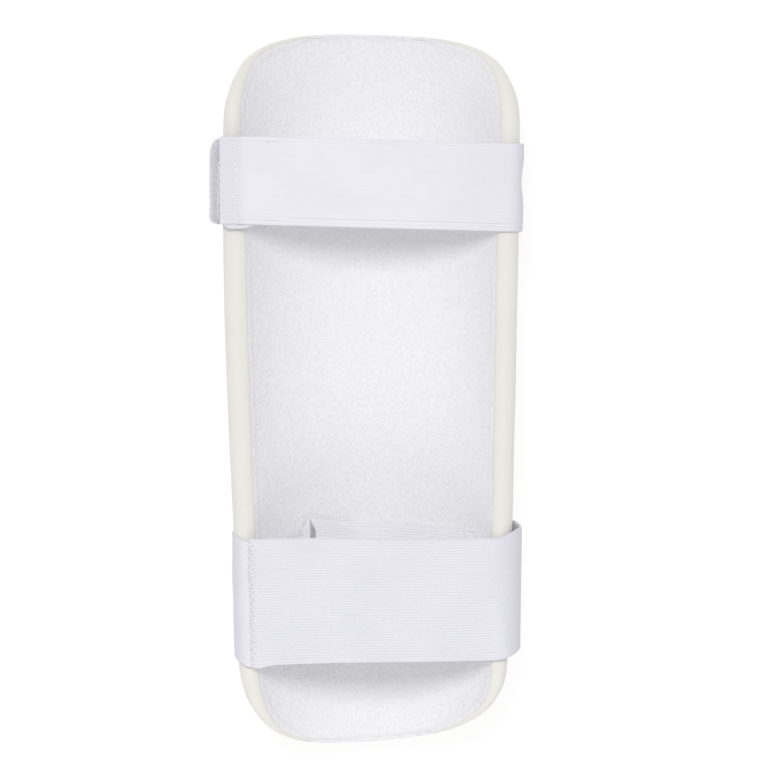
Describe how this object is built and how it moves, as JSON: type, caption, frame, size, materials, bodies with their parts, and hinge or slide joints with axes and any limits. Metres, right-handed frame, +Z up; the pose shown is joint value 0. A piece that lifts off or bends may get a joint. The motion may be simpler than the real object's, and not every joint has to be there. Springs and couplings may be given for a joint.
{
  "type": "cricket arm guard",
  "caption": "Moulded foam forearm guard: a towelling-lined trough with rounded ends, held on by elastic straps across its open side.",
  "frame": {"origin": "middle of the flat land on the outer face, which the guard rests on", "axes": "+X across the guard, +Y from the wrist end to the elbow end, +Z up out of the open side"},
  "size_m": [0.1232, 0.2791, 0.0512],
  "materials": {
    "skinned_foam": "satin cream skin over moulded foam",
    "towelling": "white brushed towelling",
    "smooth_elastic": "white finely ribbed elastic",
    "ribbed_elastic": "white elastic with ribs along it",
    "hook_tape": "pale grey hook tape",
    "loop_tape": "white brushed loop tape"
  },
  "bodies": {
    "root": {"foam_shell": "skinned_foam", "lining": "towelling", "upper_strap": "smooth_elastic", "hook_tab": "hook_tape", "loop_patch": "loop_tape", "lower_strap": "ribbed_elastic", "lower_wrap": "ribbed_elastic", "inner_band": "ribbed_elastic", "inner_tab": "hook_tape"}
  },
  "joints": []
}
